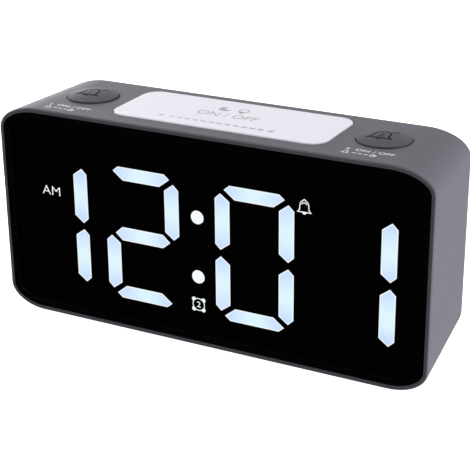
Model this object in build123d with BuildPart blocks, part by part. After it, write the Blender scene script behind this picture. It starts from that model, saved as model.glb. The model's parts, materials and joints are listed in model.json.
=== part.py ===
from build123d import *
from math import cos, radians, sin
import os

os.makedirs("parts", exist_ok=True)

# Case: a rounded sleeve that narrows to the back and whose underside rises to the back.
BODY_W = 160.0
BODY_H = 76.0
BODY_D = 42.5
SIDE_DRAFT = 3.0
BOTTOM_RISE = 4.0
TOP_RX = 15.5
TOP_RZ = 8.5
BOTTOM_RX = 13.6
BOTTOM_RZ = 8.8
WALL = 2.6
RIM = 1.5
FRONT_EDGE = 0.4
BACK_ROUND = 3.0
BACK_IN = 1.7
BACK_ANGLES = (0, 30, 60, 90)
FOOT_H = 1.0
FOOT_R = 5.0
FOOT_SIDE = 28.0
FOOT_EDGE = 8.75

# Window and light box behind it.
LENS_T = 1.5
LENS_SINK = 0.1
LENS_GAP = 0.08
MASK_T = 7.0
MASK_GAP = 0.4
MASK_DROP = 4.5
MASK_PLATE = 2.0
PIPE_GAP = 0.1
PIPE_SINK = 0.05
LED_AIR = 0.8

# Seven-segment digits: margins to the case, gaps between digits, stroke widths and tips.
DIGIT_LOW = 11.1
DIGIT_TOP = 16.5
DIGIT_RIGHT = 12.3
DIGIT_GAP = 6.65
HOURS_GAP = 7.45
COLON_RIGHT = 6.75
COLON_LEFT = 7.05
POST_W = 5.3
RAIL_W = 4.65
MID_W = 4.8
POST_END = 3.15
POST_MID = 1.2
POST_TIP = 1.95
POST_OUT = 1.85
POST_IN = 2.5
RAIL_END = 3.4
RAIL_TIP = 1.6
RAIL_OUT = 1.9
RAIL_IN = 3.85
MID_END = 3.6
MID_BEVEL = 2.7
DOT_R = 2.35
DOT_X = -2.9
DOT_TOP_IN = 1.0
DOT_LOW_IN = 1.7

# Indicator windows: place and size of the AM, bell and second alarm windows.
AM_SHIFT = 0.35
AM_UP = 11.1
AM_W = 8.6
AM_H = 4.6
BELL_SHIFT = 3.35
BELL_DROP = 2.6
BELL_W = 6.0
BELL_H = 6.4
ALARM_RISE = 3.6
ALARM_W = 6.4
ALARM_H = 6.8

# Boards and what sits on them.
BOARD_T = 1.6
LED_W = 2.0
LED_T = 1.2
CHIP_W = 12.0
CHIP_T = 1.8
DRIVER_SIDE = 40.0
DRIVER_Z = 30.0
MAIN_CHIP_SPACE = 8.0
MAIN_CHIP_Z = 38.0
DISPLAY_SCREW_SIDE = 9.0
DISPLAY_SCREW_TOP = 16.0
DISPLAY_SCREW_LOW = 13.0
SWITCH_W = 6.0
SWITCH_H = 3.5
PLUNGER_R = 1.7
PLUNGER_UP = 1.5
PLUNGER_IN = 1.2
PLUNGER_GAP = 0.3
WELL = 2.6

# Keys in the top.
KEY_GAP = 0.3
KEY_REST = 0.3
FLANGE_T = 1.2
FLANGE_OUT = 1.5
STEM_R = 3.0
STEM_L = 2.0
BUTTON_R = 9.0
BUTTON_UP = 0.55
BUTTON_DOME = 1.2
KEY_SPACE = 5.9
BAR_END = 40.4
BAR_SIDE = 6.5
BAR_R = 6.0
BAR_UP = 0.4
BAR_EDGE = 0.35
BAR_SKIN = 1.8
BAR_STEM_IN = 9.6

# Key board under the top and the ledges that carry it.
KEY_BOARD_SIDE = 10.0
KEY_BOARD_FRONT = 4.5
KEY_BOARD_BACK = 0.75
LEDGE_IN = 5.0
LEDGE_H = 4.0
GLOW_W = 3.4
GLOW_T = 1.9

# Rear cover and its keys.
COVER_T = 2.5
COVER_SINK = 0.5
COVER_GAP = 0.2
BOSS_R = 3.4
BOSS_IN = 6.0
BOSS_L = 8.0
WEB_T = 2.4
SCREW_R = 1.4
SCREW_GAP = 0.05
HEAD_R = 2.6
HEAD_T = 1.5
HEAD_GAP = 0.3
SMALL_R = 1.0
SMALL_HEAD_R = 2.0
SMALL_HEAD_T = 1.2
SMALL_L = 5.0
REAR_KEY_W = 10.0
REAR_KEY_H = 6.0
REAR_KEY_R = 1.5
REAR_KEY_DROP = 28.0
REAR_KEY_X = -14.0
REAR_KEY_STEP = 16.0
REAR_KEY_UP = 0.4
REAR_FLANGE_T = 1.0
REAR_STEM_R = 2.2
REAR_STEM_L = 1.0

# Main board on standoffs of the rear cover.
MAIN_SIDE = 28.0
MAIN_X = 2.0
MAIN_LOW = 11.0
STANDOFF_R = 3.0
STANDOFF_IN = 4.0
STANDOFF_DROP = 20.0
STANDOFF_SPACE = 5.4
STANDOFF_LOW_Z = 16.0
HEADER_W = 24.0
HEADER_T = 4.0
KEY_HEADER_H = 6.0
LINK_Z = 34.0
LINK_H = 5.0
BUZZER_IN = 22.0
BUZZER_Z = 22.0
BUZZER_R = 7.0
BUZZER_L = 5.5
SOUND_R = 0.9
SOUND_STEP = 3.4

# Power inlet: a barrel jack with its pin and solder tails.
JACK_SIDE = 19.0
JACK_Z = 24.0
JACK_W = 9.6
JACK_H = 11.0
JACK_L = 12.0
JACK_NOSE_R = 4.2
JACK_BORE_R = 3.15
JACK_DEPTH = 10.0
JACK_PIN_R = 1.0
JACK_PIN_L = 8.6
JACK_GAP = 0.15
TAIL_W = 1.6
TAIL_T = 0.6
TAIL_L = 2.5
TAIL_SPREAD = 3.0

# Backup cell, its holder and the twist-lock cover.
CELL_IN = 20.0
CELL_Z = 27.0
CELL_R = 10.0
CELL_T = 3.2
CELL_GAP = 0.4
CONTACT_R = 6.0
CONTACT_T = 0.35
HATCH_R = 13.0
HATCH_T = 2.0
HATCH_GAP = 0.3
HATCH_NECK_R = 11.6
LUG_OUT = 1.5
LUG_W = 5.0
LUG_T = 1.3
LUG_GAP = 0.35
HOLDER_WALL = 1.8
NOTCH_TURN = 45.0
SLOT_W = 2.2
SLOT_L = 15.0
SLOT_DEEP = 1.1

# Derived planes: the case stands on its feet at Z = 0 with its depth centred on Y = 0.
Y_FRONT = -BODY_D / 2
Y_BACK = BODY_D / 2
Z_TOP = FOOT_H + BODY_H
FOOT_X = BODY_W / 2 - FOOT_SIDE
FOOT_Y = BODY_D / 2 - FOOT_EDGE
Y_LENS = Y_FRONT + LENS_SINK + LENS_T
Y_BOARD = Y_LENS + MASK_T
Y_PIPE = Y_LENS + PIPE_SINK
PIPE_L = MASK_T - PIPE_SINK - LED_T - LED_AIR
MASK_TOP = Z_TOP - WALL - MASK_DROP
DIGIT_H = BODY_H - DIGIT_TOP - DIGIT_LOW
DIGIT_W = (BODY_W / 2 - DIGIT_RIGHT - DIGIT_GAP - COLON_RIGHT - DOT_X) / 2
DIGIT_Z = FOOT_H + DIGIT_LOW + DIGIT_H / 2
MINUTES_TENS_X = DOT_X + COLON_RIGHT + DIGIT_W / 2
MINUTES_X = MINUTES_TENS_X + DIGIT_GAP + DIGIT_W
HOURS_X = DOT_X - COLON_LEFT - DIGIT_W / 2
HOURS_TENS_X = HOURS_X - HOURS_GAP - DIGIT_W
BAR_W = BODY_W - 2 * BAR_END
BAR_D = BODY_D - 2 * BAR_SIDE
BAR_STEM_X = BAR_W / 2 - BAR_STEM_IN
BUTTON_X = BAR_W / 2 + KEY_SPACE + BUTTON_R
GLOW_X = BAR_STEM_X / 2
Z_FLANGE = Z_TOP - WALL - KEY_REST - FLANGE_T
Z_PRESS = Z_FLANGE - STEM_L
Z_KEY_BOARD = Z_PRESS - PLUNGER_UP - SWITCH_H
Y_COVER_OUT = Y_BACK - COVER_SINK
Y_COVER_IN = Y_COVER_OUT - COVER_T
Y_REAR_FLANGE = Y_COVER_IN - KEY_REST
Y_PRESS = Y_REAR_FLANGE - REAR_FLANGE_T - REAR_STEM_L
Y_MAIN = Y_PRESS - PLUNGER_UP - SWITCH_H
MAIN_TOP = Z_KEY_BOARD - BOARD_T - KEY_REST
MAIN_W = BODY_W - 2 * MAIN_SIDE
MAIN_LEFT = MAIN_X - MAIN_W / 2
MAIN_RIGHT = MAIN_X + MAIN_W / 2
KEY_BOARD_W = BODY_W - 2 * KEY_BOARD_SIDE
KEY_BOARD_Y0 = Y_BOARD + BOARD_T + KEY_BOARD_FRONT
KEY_BOARD_Y1 = Y_COVER_IN - BOSS_L - KEY_BOARD_BACK
KEY_BOARD_Y = (KEY_BOARD_Y0 + KEY_BOARD_Y1) / 2
KEY_BOARD_D = KEY_BOARD_Y1 - KEY_BOARD_Y0
REAR_KEY_Z = Z_TOP - REAR_KEY_DROP
BUZZER_X = MAIN_LEFT + BUZZER_IN
JACK_X = JACK_SIDE - BODY_W / 2
CELL = (MAIN_RIGHT - CELL_IN, CELL_Z)
LUG_R = HATCH_R + LUG_OUT
HOLDER_R = LUG_R + HATCH_GAP + HOLDER_WALL
STANDOFF_Z = Z_TOP - STANDOFF_DROP
HALF_BACK = BODY_W / 2 - SIDE_DRAFT
BOSS_X = HALF_BACK - WALL - BOSS_IN
BOSS_TOP = Z_TOP - WALL - BOSS_IN
BOSS_LOW = FOOT_H + BOTTOM_RISE + WALL + BOSS_IN
BOSSES = [(-BOSS_X, BOSS_TOP), (BOSS_X, BOSS_TOP), (-BOSS_X, BOSS_LOW), (BOSS_X, BOSS_LOW)]
STANDOFFS = [
    (MAIN_LEFT + STANDOFF_IN, STANDOFF_Z),
    (MAIN_RIGHT - STANDOFF_IN, STANDOFF_Z),
    (MAIN_LEFT + STANDOFF_IN, STANDOFF_LOW_Z),
    (CELL[0] - HOLDER_R - STANDOFF_SPACE, STANDOFF_LOW_Z),
]
REAR_KEYS = [REAR_KEY_X + (k - 1.5) * REAR_KEY_STEP for k in range(4)]
DISPLAY_SCREWS = [
    (side * (BODY_W / 2 - DISPLAY_SCREW_SIDE), z)
    for side in (-1, 1)
    for z in (FOOT_H + DISPLAY_SCREW_LOW, Z_TOP - DISPLAY_SCREW_TOP)
]


def at(y):
    """Sketch plane at depth y that faces the front: local x is X and local y is Z."""
    return Plane.XZ.offset(-y)


def case_outline(y, inset, place):
    """Section of the sleeve at depth y, drawn in by inset, as a sketch at depth place."""
    share = (y - Y_FRONT) / BODY_D
    half = BODY_W / 2 - SIDE_DRAFT * share - inset
    low = FOOT_H + BOTTOM_RISE * share + inset
    high = Z_TOP - inset
    top_x, top_z = TOP_RX - inset, TOP_RZ - inset
    low_x, low_z = BOTTOM_RX - inset, BOTTOM_RZ - inset
    with BuildSketch(at(place)) as face:
        with BuildLine():
            Line((half, low + low_z), (half, high - top_z))
            EllipticalCenterArc((half - top_x, high - top_z), top_x, top_z, 0)
            Line((half - top_x, high), (top_x - half, high))
            EllipticalCenterArc((top_x - half, high - top_z), top_x, top_z, 90)
            Line((-half, high - top_z), (-half, low + low_z))
            EllipticalCenterArc((low_x - half, low + low_z), low_x, low_z, 180)
            Line((low_x - half, low), (half - low_x, low))
            EllipticalCenterArc((half - low_x, low + low_z), low_x, low_z, 270)
        make_face()
    return face.sketch


def post(side, row):
    """Corner points of an upright stroke: side is -1 or 1, row is -1 (lower) or 1 (upper)."""
    edge = DIGIT_W / 2
    far = DIGIT_H / 2 - POST_END
    return [
        (side * (edge - POST_TIP), row * far),
        (side * edge, row * (far - POST_OUT)),
        (side * edge, row * (POST_MID + POST_OUT)),
        (side * (edge - POST_TIP), row * POST_MID),
        (side * (edge - POST_W), row * (POST_MID + POST_IN)),
        (side * (edge - POST_W), row * (far - POST_IN)),
    ]


def rail(row):
    """Corner points of the top (1) or bottom (-1) stroke."""
    edge = DIGIT_H / 2
    end = DIGIT_W / 2 - RAIL_END
    return [
        (-end, row * (edge - RAIL_TIP)),
        (-end + RAIL_OUT, row * edge),
        (end - RAIL_OUT, row * edge),
        (end, row * (edge - RAIL_TIP)),
        (end - RAIL_IN, row * (edge - RAIL_W)),
        (-end + RAIL_IN, row * (edge - RAIL_W)),
    ]


def middle():
    """Corner points of the middle stroke."""
    end = DIGIT_W / 2 - MID_END
    flat = end - MID_BEVEL
    return [
        (-end, 0),
        (-flat, MID_W / 2),
        (flat, MID_W / 2),
        (end, 0),
        (flat, -MID_W / 2),
        (-flat, -MID_W / 2),
    ]


STROKES = {
    "a": rail(1),
    "b": post(1, 1),
    "c": post(1, -1),
    "d": rail(-1),
    "e": post(-1, -1),
    "f": post(-1, 1),
    "g": middle(),
}
DIGITS = {
    "segments_hours_tens": (HOURS_TENS_X, "bc", ""),
    "segments_hours": (HOURS_X, "abdeg", "cf"),
    "segments_minutes_tens": (MINUTES_TENS_X, "abcdef", "g"),
    "segments_minutes": (MINUTES_X, "bc", "adefg"),
}
DOTS = [(DOT_X, DIGIT_Z + DIGIT_H / 4 - DOT_TOP_IN), (DOT_X, DIGIT_Z - DIGIT_H / 4 + DOT_LOW_IN)]
WINDOWS = [
    (HOURS_TENS_X - AM_SHIFT, DIGIT_Z + AM_UP, AM_W, AM_H),
    (MINUTES_TENS_X + DIGIT_W / 2 + BELL_SHIFT, DIGIT_Z + DIGIT_H / 2 - BELL_DROP, BELL_W, BELL_H),
    (DOT_X, DIGIT_Z - DIGIT_H / 2 + ALARM_RISE, ALARM_W, ALARM_H),
]


def strokes(x, names):
    """Stroke outlines of a digit centred at x, moved to their place on the window."""
    return [[(x + p, DIGIT_Z + q) for p, q in STROKES[name]] for name in names]


def stroke_centre(points):
    """Middle of a stroke's corner points."""
    return (sum(p for p, q in points) / len(points), sum(q for p, q in points) / len(points))


ALL_STROKES = [s for x, lit, dark in DIGITS.values() for s in strokes(x, lit + dark)]


def polygon(points, grow):
    """Face on the current sketch with the given corners, grown by a clearance."""
    with BuildSketch(Plane.XY, mode=Mode.PRIVATE) as face:
        with BuildLine():
            Polyline(*points, close=True)
        make_face()
        if grow:
            offset(amount=grow, kind=Kind.INTERSECTION)
    add(face.sketch)


def save(part, name):
    """Label a finished piece and write it to its file."""
    part.label = name
    export_step(part, f"parts/{name}.step")


# Housing: sleeve, window recess, key openings, screw bosses and key board ledges.
LEDGE_X = KEY_BOARD_W / 2
LEDGE_SHARE = (KEY_BOARD_Y - Y_FRONT) / BODY_D
LEDGE_END = BODY_W / 2 - SIDE_DRAFT * LEDGE_SHARE - WALL / 2
with BuildPart() as housing:
    brow = case_outline(Y_FRONT, FRONT_EDGE, Y_FRONT)
    face = case_outline(Y_FRONT + FRONT_EDGE, 0, Y_FRONT + FRONT_EDGE)
    rounding = []
    for angle in BACK_ANGLES:
        depth = Y_BACK - BACK_ROUND * (1 - sin(radians(angle)))
        rounding.append(case_outline(depth, BACK_IN * (1 - cos(radians(angle))), depth))
    loft([brow, face, rounding[0]], ruled=True)
    loft(rounding)
    mouth = case_outline(Y_FRONT - WALL, WALL, Y_FRONT - WALL)
    tail = case_outline(Y_BACK + WALL, WALL, Y_BACK + WALL)
    loft([mouth, tail], ruled=True, mode=Mode.SUBTRACT)
    extrude(case_outline(Y_FRONT, RIM, Y_FRONT), amount=-(LENS_SINK + LENS_T), mode=Mode.SUBTRACT)
    with BuildSketch(Plane.XY.offset(Z_TOP)):
        RectangleRounded(BAR_W + 2 * KEY_GAP, BAR_D + 2 * KEY_GAP, BAR_R + KEY_GAP)
        with Locations((-BUTTON_X, 0), (BUTTON_X, 0)):
            Circle(BUTTON_R + KEY_GAP)
    extrude(amount=-2 * WALL, mode=Mode.SUBTRACT)
    with BuildSketch(at(Y_COVER_IN)):
        with Locations(*BOSSES):
            Circle(BOSS_R)
        for x, z in BOSSES:
            with Locations((x + (BOSS_IN + WALL / 2) / 2 * (1 if x > 0 else -1), z)):
                Rectangle(BOSS_IN + WALL / 2, WEB_T)
    extrude(amount=BOSS_L)
    with BuildSketch(at(Y_COVER_IN)):
        with Locations(*BOSSES):
            Circle(SCREW_R + SCREW_GAP)
    extrude(amount=BOSS_L - SCREW_R, mode=Mode.SUBTRACT)
    with BuildSketch(Plane.XY.offset(Z_KEY_BOARD - BOARD_T)):
        for side in (-1, 1):
            with Locations((side * (LEDGE_X - LEDGE_IN + LEDGE_END) / 2, KEY_BOARD_Y)):
                Rectangle(LEDGE_END - LEDGE_X + LEDGE_IN, KEY_BOARD_D)
    extrude(amount=-LEDGE_H)
    with BuildSketch(Plane.XY.offset(Z_KEY_BOARD - BOARD_T)):
        with Locations((LEDGE_IN / 2 - LEDGE_X, KEY_BOARD_Y), (LEDGE_X - LEDGE_IN / 2, KEY_BOARD_Y)):
            Circle(SMALL_R + SCREW_GAP)
    extrude(amount=-LEDGE_H, mode=Mode.SUBTRACT)
save(housing.part, "housing")

# Front window.
with BuildPart() as front_lens:
    extrude(case_outline(Y_FRONT, RIM + LENS_GAP, Y_LENS), amount=LENS_T)
save(front_lens.part, "front_lens")

# Light box with one opening for each stroke, dot and indicator.
with BuildPart() as display_mask:
    extrude(case_outline(Y_BOARD, WALL + MASK_GAP, Y_BOARD), amount=MASK_T)
    with BuildSketch(Plane.XY.offset(MASK_TOP)):
        Rectangle(BODY_W, BODY_D)
    extrude(amount=BODY_H, mode=Mode.SUBTRACT)
    plate = case_outline(Y_LENS + MASK_PLATE, WALL + MASK_GAP, Y_LENS + MASK_PLATE)
    extrude(plate, amount=MASK_PLATE)
    with BuildSketch(at(Y_BOARD)):
        for corners in ALL_STROKES:
            polygon(corners, PIPE_GAP)
        with Locations(*DOTS):
            Circle(DOT_R + PIPE_GAP)
        for x, z, w, h in WINDOWS:
            with Locations((x, z)):
                Rectangle(w + 2 * PIPE_GAP, h + 2 * PIPE_GAP)
    extrude(amount=MASK_T, mode=Mode.SUBTRACT)
    with BuildSketch(at(Y_BOARD)):
        with Locations(*DISPLAY_SCREWS):
            Circle(SMALL_R + SCREW_GAP)
    extrude(amount=SMALL_L, mode=Mode.SUBTRACT)
save(display_mask.part, "display_mask")

# Light pipes: the lit strokes of each digit, then every unlit stroke.
for name, (x, lit, dark) in DIGITS.items():
    with BuildPart() as digit:
        with BuildSketch(at(Y_PIPE)):
            for corners in strokes(x, lit):
                polygon(corners, 0)
        extrude(amount=-PIPE_L)
    save(digit.part, name)
with BuildPart() as unlit:
    with BuildSketch(at(Y_PIPE)):
        for x, lit, dark in DIGITS.values():
            for corners in strokes(x, dark):
                polygon(corners, 0)
    extrude(amount=-PIPE_L)
save(unlit.part, "segments_unlit")
with BuildPart() as colon:
    with BuildSketch(at(Y_PIPE)):
        with Locations(*DOTS):
            Circle(DOT_R)
    extrude(amount=-PIPE_L)
save(colon.part, "colon_dots")
with BuildPart() as windows:
    with BuildSketch(at(Y_PIPE)):
        for x, z, w, h in WINDOWS:
            with Locations((x, z)):
                Rectangle(w, h)
    extrude(amount=-PIPE_L)
save(windows.part, "indicator_windows")

# Display board, its LEDs, driver chip and screws.
with BuildPart() as display_board:
    extrude(case_outline(Y_BOARD + BOARD_T, WALL + MASK_GAP, Y_BOARD + BOARD_T), amount=BOARD_T)
    with BuildSketch(Plane.XY.offset(MASK_TOP)):
        Rectangle(BODY_W, BODY_D)
    extrude(amount=BODY_H, mode=Mode.SUBTRACT)
    with BuildSketch(at(Y_BOARD + BOARD_T)):
        with Locations(*DISPLAY_SCREWS):
            Circle(SMALL_R + SCREW_GAP)
    extrude(amount=BOARD_T, mode=Mode.SUBTRACT)
save(display_board.part, "display_board")
LED_SPOTS = [stroke_centre(corners) for corners in ALL_STROKES] + DOTS
LED_SPOTS = LED_SPOTS + [(x, z) for x, z, w, h in WINDOWS]
with BuildPart() as display_leds:
    with BuildSketch(at(Y_BOARD)):
        with Locations(*LED_SPOTS):
            Rectangle(LED_W, LED_W)
    extrude(amount=LED_T)
save(display_leds.part, "display_leds")
with BuildPart() as driver_chip:
    with BuildSketch(at(Y_BOARD + BOARD_T)):
        with Locations((BODY_W / 2 - DRIVER_SIDE, FOOT_H + DRIVER_Z)):
            Rectangle(CHIP_W, CHIP_W)
    extrude(amount=-CHIP_T)
save(driver_chip.part, "driver_chip")
with BuildPart() as display_screws:
    with BuildSketch(at(Y_BOARD + BOARD_T)):
        with Locations(*DISPLAY_SCREWS):
            Circle(SMALL_HEAD_R)
    extrude(amount=-SMALL_HEAD_T)
    with BuildSketch(at(Y_BOARD + BOARD_T)):
        with Locations(*DISPLAY_SCREWS):
            Circle(SMALL_R)
    extrude(amount=SMALL_L)
save(display_screws.part, "display_screws")


def round_button(x):
    """Round key in the top: domed cap, retaining flange and stem, turned about its own axis."""
    brow = Z_TOP + BUTTON_UP
    apex = brow + BUTTON_DOME
    ball = (BUTTON_R**2 + BUTTON_DOME**2) / (2 * BUTTON_DOME)
    half_way = apex - ball + (ball**2 - (BUTTON_R / 2) ** 2) ** 0.5
    with BuildPart() as key:
        with BuildSketch(Plane.XZ):
            with BuildLine():
                Polyline(
                    (x, apex),
                    (x, Z_PRESS),
                    (x + STEM_R, Z_PRESS),
                    (x + STEM_R, Z_FLANGE),
                    (x + BUTTON_R + FLANGE_OUT, Z_FLANGE),
                    (x + BUTTON_R + FLANGE_OUT, Z_FLANGE + FLANGE_T),
                    (x + BUTTON_R, Z_FLANGE + FLANGE_T),
                    (x + BUTTON_R, brow),
                )
                ThreePointArc((x + BUTTON_R, brow), (x + BUTTON_R / 2, half_way), (x, apex))
            make_face()
        revolve(axis=Axis((x, 0, 0), (0, 0, 1)))
    return key.part


save(round_button(-BUTTON_X), "left_button")
save(round_button(BUTTON_X), "right_button")

# Snooze and night light bar: hollow translucent key with two stems.
with BuildPart() as snooze_bar:
    with BuildSketch(Plane.XY.offset(Z_FLANGE)):
        RectangleRounded(BAR_W, BAR_D, BAR_R)
    extrude(amount=Z_TOP + BAR_UP - Z_FLANGE)
    fillet(snooze_bar.faces().sort_by(Axis.Z)[-1].edges(), BAR_EDGE)
    with BuildSketch(Plane.XY.offset(Z_FLANGE)):
        RectangleRounded(BAR_W + 2 * FLANGE_OUT, BAR_D + 2 * FLANGE_OUT, BAR_R + FLANGE_OUT)
    extrude(amount=FLANGE_T)
    with BuildSketch(Plane.XY.offset(Z_FLANGE)):
        RectangleRounded(BAR_W - 2 * BAR_SKIN, BAR_D - 2 * BAR_SKIN, BAR_R - BAR_SKIN)
    extrude(amount=Z_TOP + BAR_UP - BAR_SKIN - Z_FLANGE, mode=Mode.SUBTRACT)
    with BuildSketch(Plane.XY.offset(Z_PRESS)):
        with Locations((-BAR_STEM_X, 0), (BAR_STEM_X, 0)):
            Circle(STEM_R)
    extrude(amount=Z_TOP + BAR_UP - BAR_SKIN - Z_PRESS)
save(snooze_bar.part, "snooze_bar")

# Key board with its switches, night light LEDs and screws.
TOP_KEYS = [(-BUTTON_X, 0), (-BAR_STEM_X, 0), (BAR_STEM_X, 0), (BUTTON_X, 0)]
KEY_SCREWS = [(LEDGE_IN / 2 - LEDGE_X, KEY_BOARD_Y), (LEDGE_X - LEDGE_IN / 2, KEY_BOARD_Y)]
with BuildPart() as key_board:
    with BuildSketch(Plane.XY.offset(Z_KEY_BOARD)):
        with Locations((0, KEY_BOARD_Y)):
            Rectangle(KEY_BOARD_W, KEY_BOARD_D)
        with Locations(*KEY_SCREWS):
            Circle(SMALL_R + SCREW_GAP, mode=Mode.SUBTRACT)
    extrude(amount=-BOARD_T)
save(key_board.part, "key_board")
with BuildPart() as key_board_screws:
    with BuildSketch(Plane.XY.offset(Z_KEY_BOARD)):
        with Locations(*KEY_SCREWS):
            Circle(SMALL_HEAD_R)
    extrude(amount=SMALL_HEAD_T)
    with BuildSketch(Plane.XY.offset(Z_KEY_BOARD)):
        with Locations(*KEY_SCREWS):
            Circle(SMALL_R)
    extrude(amount=-SMALL_L)
save(key_board_screws.part, "key_board_screws")
with BuildPart() as key_switches:
    with BuildSketch(Plane.XY.offset(Z_KEY_BOARD)):
        with Locations(*TOP_KEYS):
            Rectangle(SWITCH_W, SWITCH_W)
    extrude(amount=SWITCH_H)
    with BuildSketch(Plane.XY.offset(Z_KEY_BOARD + SWITCH_H)):
        with Locations(*TOP_KEYS):
            Circle(PLUNGER_R + PLUNGER_GAP)
    extrude(amount=-WELL, mode=Mode.SUBTRACT)
save(key_switches.part, "key_switches")


def top_plungers(spots):
    """Plungers of the switches in the top that are pressed by one key."""
    with BuildPart() as plungers:
        with BuildSketch(Plane.XY.offset(Z_PRESS)):
            with Locations(*spots):
                Circle(PLUNGER_R)
        extrude(amount=-(PLUNGER_UP + PLUNGER_IN))
    return plungers.part


save(top_plungers(TOP_KEYS[0:1]), "left_plunger")
save(top_plungers(TOP_KEYS[1:3]), "bar_plungers")
save(top_plungers(TOP_KEYS[3:4]), "right_plunger")
with BuildPart() as night_leds:
    with BuildSketch(Plane.XY.offset(Z_KEY_BOARD)):
        with Locations((-GLOW_X, 0), (0, 0), (GLOW_X, 0)):
            Rectangle(GLOW_W, GLOW_W)
    extrude(amount=GLOW_T)
save(night_leds.part, "night_light_leds")

# Rear cover: key openings, sound holes, inlet hole, hatch opening with its entry notches, standoffs.
with BuildPart() as rear_cover:
    extrude(case_outline(Y_BACK, WALL + COVER_GAP, Y_COVER_OUT), amount=COVER_T)
    with BuildSketch(at(Y_COVER_OUT)):
        for x in REAR_KEYS:
            with Locations((x, REAR_KEY_Z)):
                RectangleRounded(REAR_KEY_W + 2 * KEY_GAP, REAR_KEY_H + 2 * KEY_GAP, REAR_KEY_R + KEY_GAP)
        with Locations((JACK_X, JACK_Z)):
            Circle(JACK_NOSE_R + JACK_GAP)
        with Locations((BUZZER_X, BUZZER_Z)):
            Circle(SOUND_R)
            with PolarLocations(SOUND_STEP, 6):
                Circle(SOUND_R)
        with Locations(CELL):
            Circle(HATCH_R + HATCH_GAP)
            with Locations(Location((0, 0), -NOTCH_TURN)):
                Rectangle(2 * (LUG_R + HATCH_GAP), LUG_W + 2 * HATCH_GAP)
        with Locations(*BOSSES):
            Circle(SCREW_R + HEAD_GAP)
    extrude(amount=COVER_T, mode=Mode.SUBTRACT)
    with BuildSketch(at(Y_COVER_OUT)):
        with Locations(*BOSSES):
            Circle(HEAD_R + HEAD_GAP)
    extrude(amount=HEAD_T, mode=Mode.SUBTRACT)
    with BuildSketch(at(Y_COVER_IN)):
        with Locations(*STANDOFFS):
            Circle(STANDOFF_R)
            Circle(SMALL_R + SCREW_GAP, mode=Mode.SUBTRACT)
    extrude(amount=Y_COVER_IN - Y_MAIN)
save(rear_cover.part, "rear_cover")
with BuildPart() as case_screws:
    with BuildSketch(at(Y_COVER_OUT - HEAD_T)):
        with Locations(*BOSSES):
            Circle(HEAD_R)
    extrude(amount=-HEAD_T)
    with BuildSketch(at(Y_COVER_OUT - HEAD_T)):
        with Locations(*BOSSES):
            Circle(SCREW_R)
    extrude(amount=BOSS_L - HEAD_T)
save(case_screws.part, "case_screws")

# Main board and what it carries.
with BuildPart() as main_board:
    with BuildSketch(at(Y_MAIN)):
        with Locations((MAIN_X, (MAIN_LOW + MAIN_TOP) / 2)):
            Rectangle(MAIN_W, MAIN_TOP - MAIN_LOW)
        with Locations(*STANDOFFS):
            Circle(SMALL_R + SCREW_GAP, mode=Mode.SUBTRACT)
    extrude(amount=BOARD_T)
save(main_board.part, "main_board")
with BuildPart() as main_screws:
    with BuildSketch(at(Y_MAIN - BOARD_T)):
        with Locations(*STANDOFFS):
            Circle(SMALL_HEAD_R)
    extrude(amount=SMALL_HEAD_T)
    with BuildSketch(at(Y_MAIN - BOARD_T)):
        with Locations(*STANDOFFS):
            Circle(SMALL_R)
    extrude(amount=-SMALL_L)
save(main_screws.part, "main_board_screws")
with BuildPart() as rear_switches:
    with BuildSketch(at(Y_MAIN)):
        for x in REAR_KEYS:
            with Locations((x, REAR_KEY_Z)):
                Rectangle(SWITCH_W, SWITCH_W)
    extrude(amount=-SWITCH_H)
    with BuildSketch(at(Y_MAIN + SWITCH_H)):
        for x in REAR_KEYS:
            with Locations((x, REAR_KEY_Z)):
                Circle(PLUNGER_R + PLUNGER_GAP)
    extrude(amount=WELL, mode=Mode.SUBTRACT)
save(rear_switches.part, "rear_switches")
with BuildPart() as main_chip:
    with BuildSketch(at(Y_MAIN - BOARD_T)):
        with Locations((-HEADER_W / 2 - MAIN_CHIP_SPACE - CHIP_W / 2, MAIN_CHIP_Z)):
            Rectangle(CHIP_W, CHIP_W)
    extrude(amount=CHIP_T)
save(main_chip.part, "main_chip")
with BuildPart() as key_header:
    with BuildSketch(Plane.XY.offset(Z_KEY_BOARD - BOARD_T)):
        with Locations((0, Y_MAIN - BOARD_T - HEADER_T / 2)):
            Rectangle(HEADER_W, HEADER_T)
    extrude(amount=-KEY_HEADER_H)
save(key_header.part, "key_header")
with BuildPart() as display_link:
    with BuildSketch(at(Y_MAIN - BOARD_T)):
        with Locations((0, LINK_Z)):
            Rectangle(HEADER_W, LINK_H)
    extrude(amount=Y_MAIN - Y_BOARD - 2 * BOARD_T)
save(display_link.part, "display_link")
with BuildPart() as buzzer:
    with BuildSketch(at(Y_MAIN)):
        with Locations((BUZZER_X, BUZZER_Z)):
            Circle(BUZZER_R)
    extrude(amount=-BUZZER_L)
    with BuildSketch(at(Y_MAIN + BUZZER_L)):
        with Locations((BUZZER_X, BUZZER_Z)):
            Circle(SOUND_R)
    extrude(amount=SOUND_R, mode=Mode.SUBTRACT)
save(buzzer.part, "buzzer")

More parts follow.
